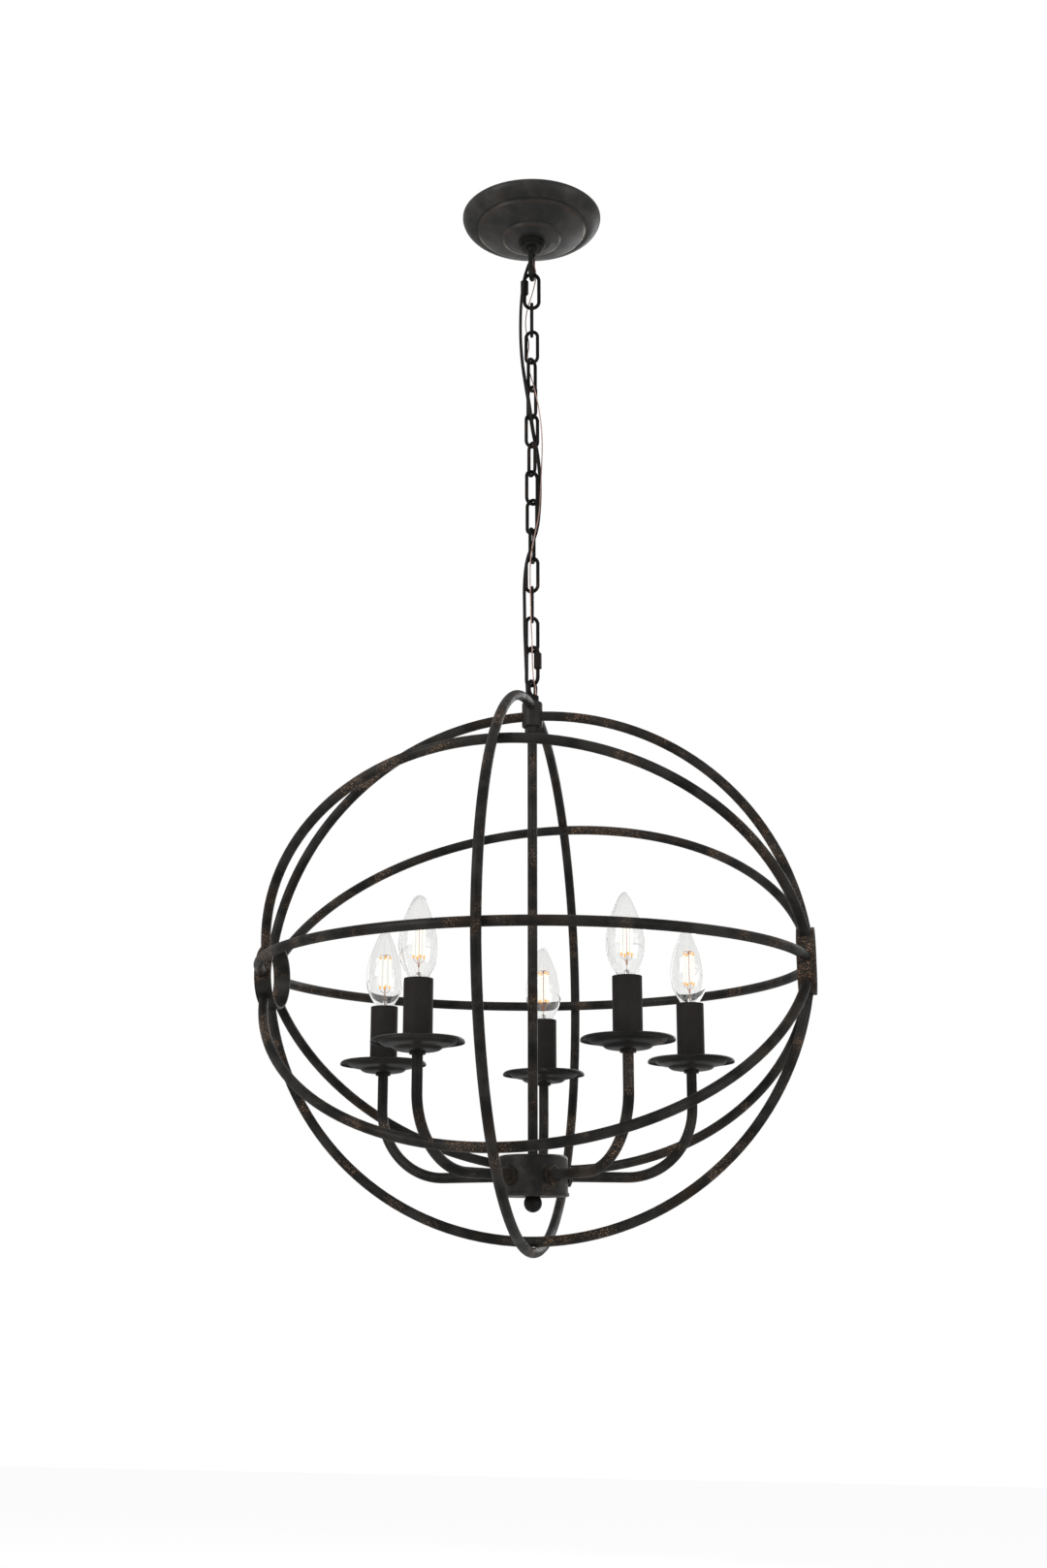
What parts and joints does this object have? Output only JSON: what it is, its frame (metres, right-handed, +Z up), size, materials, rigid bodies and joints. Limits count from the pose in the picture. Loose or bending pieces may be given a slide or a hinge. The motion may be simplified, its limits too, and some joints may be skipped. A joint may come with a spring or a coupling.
{
  "type": "orb chandelier",
  "caption": "Chandelier with candle lamps on curved arms inside an open orb of round steel rods, hung by a link chain from a stepped round ceiling canopy.",
  "frame": {"origin": "centre of the ceiling plane, on top of the crossbar and the canopy's rim", "axes": "+Z up towards the ceiling, the cage's two bands on the X axis, -Y the front"},
  "size_m": [0.5088, 0.508, 1.0242],
  "materials": {
    "rubbed_bronze": "oil-rubbed bronze enamel, satin, rubbed through to copper on the edges",
    "canopy_bronze": "dark bronze enamel with a soft sheen",
    "zinc_steel": "zinc plated",
    "ground_green": "green grounding screw",
    "cord_sheath": "matte brown insulation",
    "ground_wire": "tinned copper strand",
    "sleeve_black": "matte candle sleeve",
    "socket_black": "moulded lamp socket",
    "bulb_glass": "clear candle bulb"
  },
  "bodies": {
    "fixture": {"ceiling_crossbar": "zinc_steel", "ground_screw": "ground_green", "crossbar_nut": "zinc_steel", "canopy_loop": "canopy_bronze", "supply_cord": "cord_sheath", "ground_wire": "ground_wire"},
    "canopy_body": {"canopy": "canopy_bronze"},
    "collar_body": {"collar_ring": "canopy_bronze"},
    "quick_link_upper_body": {"quick_link_upper": "rubbed_bronze"},
    "nut_upper_body": {"quick_link_nut_upper": "rubbed_bronze"},
    "link_01": {"chain_link_01": "rubbed_bronze"},
    "link_02": {"chain_link_02": "rubbed_bronze"},
    "link_03": {"chain_link_03": "rubbed_bronze"},
    "link_04": {"chain_link_04": "rubbed_bronze"},
    "link_05": {"chain_link_05": "rubbed_bronze"},
    "link_06": {"chain_link_06": "rubbed_bronze"},
    "link_07": {"chain_link_07": "rubbed_bronze"},
    "link_08": {"chain_link_08": "rubbed_bronze"},
    "link_09": {"chain_link_09": "rubbed_bronze"},
    "link_10": {"chain_link_10": "rubbed_bronze"},
    "link_11": {"chain_link_11": "rubbed_bronze"},
    "link_12": {"chain_link_12": "rubbed_bronze"},
    "quick_link_lower_body": {"quick_link_lower": "rubbed_bronze"},
    "nut_lower_body": {"quick_link_nut_lower": "rubbed_bronze"},
    "cage": {"cage_loop": "rubbed_bronze", "top_hub": "rubbed_bronze", "hub_nut": "rubbed_bronze", "rod_back_upper": "rubbed_bronze", "rod_front_upper": "rubbed_bronze", "rod_front_level": "rubbed_bronze", "rod_front_lower": "rubbed_bronze", "rod_bottom": "rubbed_bronze", "rod_back_lower": "rubbed_bronze", "rod_back_level": "rubbed_bronze", "rod_top": "rubbed_bronze", "outer_ring": "rubbed_bronze", "band_left": "rubbed_bronze", "band_right": "rubbed_bronze", "stem_tube": "rubbed_bronze", "cluster_body": "rubbed_bronze", "base_plate": "rubbed_bronze", "stem_nut": "rubbed_bronze", "finial": "rubbed_bronze", "arm_1": "rubbed_bronze", "arm_2": "rubbed_bronze", "arm_3": "rubbed_bronze", "arm_4": "rubbed_bronze", "arm_5": "rubbed_bronze", "arm_nuts": "rubbed_bronze", "saucer_collars": "rubbed_bronze", "arm_nipples": "zinc_steel", "saucers": "rubbed_bronze", "candle_sleeves": "sleeve_black", "lamp_sockets": "socket_black"},
    "bulb_1_body": {"bulb_1": "bulb_glass"},
    "bulb_2_body": {"bulb_2": "bulb_glass"},
    "bulb_3_body": {"bulb_3": "bulb_glass"},
    "bulb_4_body": {"bulb_4": "bulb_glass"},
    "bulb_5_body": {"bulb_5": "bulb_glass"}
  },
  "joints": [
    {"name": "canopy_drop", "type": "slide", "parent": "fixture", "child": "canopy_body", "axis": [0, 0, -1], "range_m": [0, 0.0305]},
    {"name": "collar_drop", "type": "slide", "parent": "fixture", "child": "collar_body", "axis": [0, 0, -1], "range_m": [0, 0.0305]},
    {"name": "swing_quick_link_upper", "type": "hinge", "parent": "fixture", "child": "quick_link_upper_body", "pos_m": [0, 0, -0.0683], "axis": [0, -1, 0], "range_deg": [-35, 35], "deforming": ["supply_cord", "ground_wire"]},
    {"name": "swing_link_01", "type": "hinge", "parent": "quick_link_upper_body", "child": "link_01", "pos_m": [0, 0, -0.1018], "axis": [0.9848, 0.1736, 0], "range_deg": [-35, 35]},
    {"name": "swing_link_02", "type": "hinge", "parent": "link_01", "child": "link_02", "pos_m": [0, 0, -0.132], "axis": [-0.1736, 0.9848, 0], "range_deg": [-35, 35]},
    {"name": "swing_link_03", "type": "hinge", "parent": "link_02", "child": "link_03", "pos_m": [0, 0, -0.1623], "axis": [-0.9962, 0.0872, 0], "range_deg": [-35, 35]},
    {"name": "swing_link_04", "type": "hinge", "parent": "link_03", "child": "link_04", "pos_m": [0, 0, -0.1926], "axis": [-0.4226, -0.9063, 0], "range_deg": [-35, 35]},
    {"name": "swing_link_05", "type": "hinge", "parent": "link_04", "child": "link_05", "pos_m": [0, 0, -0.2229], "axis": [0.766, -0.6428, 0], "range_deg": [-35, 35]},
    {"name": "swing_link_06", "type": "hinge", "parent": "link_05", "child": "link_06", "pos_m": [0, 0, -0.2532], "axis": [0.866, 0.5, 0], "range_deg": [-35, 35]},
    {"name": "swing_link_07", "type": "hinge", "parent": "link_06", "child": "link_07", "pos_m": [0, 0, -0.2835], "axis": [-0.6428, 0.766, 0], "range_deg": [-35, 35]},
    {"name": "swing_link_08", "type": "hinge", "parent": "link_07", "child": "link_08", "pos_m": [0, 0, -0.3138], "axis": [-0.766, -0.6428, 0], "range_deg": [-35, 35]},
    {"name": "swing_link_09", "type": "hinge", "parent": "link_08", "child": "link_09", "pos_m": [0, 0, -0.3441], "axis": [0.8829, -0.4695, 0], "range_deg": [-35, 35]},
    {"name": "swing_link_10", "type": "hinge", "parent": "link_09", "child": "link_10", "pos_m": [0, 0, -0.3744], "axis": [0.1392, 0.9903, 0], "range_deg": [-35, 35]},
    {"name": "swing_link_11", "type": "hinge", "parent": "link_10", "child": "link_11", "pos_m": [0, 0, -0.4047], "axis": [-0.9848, 0.1736, 0], "range_deg": [-35, 35]},
    {"name": "swing_link_12", "type": "hinge", "parent": "link_11", "child": "link_12", "pos_m": [0, 0, -0.435], "axis": [0.1736, -0.9848, 0], "range_deg": [-35, 35]},
    {"name": "swing_quick_link_lower", "type": "hinge", "parent": "link_12", "child": "quick_link_lower_body", "pos_m": [0, 0, -0.4653], "axis": [0.829, 0.5592, 0], "range_deg": [-35, 35]},
    {"name": "swing_cage", "type": "hinge", "parent": "quick_link_lower_body", "child": "cage", "pos_m": [0, 0, -0.4994], "axis": [-0.848, 0.5299, 0], "range_deg": [-35, 35]},
    {"name": "upper_nut_unscrew", "type": "slide", "parent": "quick_link_upper_body", "child": "nut_upper_body", "axis": [0, 0, -1], "range_m": [0, 0.0074]},
    {"name": "lower_nut_unscrew", "type": "slide", "parent": "quick_link_lower_body", "child": "nut_lower_body", "axis": [0, 0, -1], "range_m": [0, 0.0074]},
    {"name": "bulb_1_unscrew", "type": "hinge", "parent": "cage", "child": "bulb_1_body", "pos_m": [0.13647, 0.06105, -0.81], "axis": [0, 0, 1], "range_deg": [0, 1440]},
    {"name": "bulb_2_unscrew", "type": "hinge", "parent": "cage", "child": "bulb_2_body", "pos_m": [-0.01589, 0.14865, -0.81], "axis": [0, 0, 1], "range_deg": [0, 1440]},
    {"name": "bulb_3_unscrew", "type": "hinge", "parent": "cage", "child": "bulb_3_body", "pos_m": [-0.14629, 0.03083, -0.81], "axis": [0, 0, 1], "range_deg": [0, 1440]},
    {"name": "bulb_4_unscrew", "type": "hinge", "parent": "cage", "child": "bulb_4_body", "pos_m": [-0.07452, -0.1296, -0.81], "axis": [0, 0, 1], "range_deg": [0, 1440]},
    {"name": "bulb_5_unscrew", "type": "hinge", "parent": "cage", "child": "bulb_5_body", "pos_m": [0.10023, -0.11093, -0.81], "axis": [0, 0, 1], "range_deg": [0, 1440]}
  ],
  "couplings": [
    {"joint": "collar_drop", "follows": "canopy_drop", "ratio": 1}
  ]
}
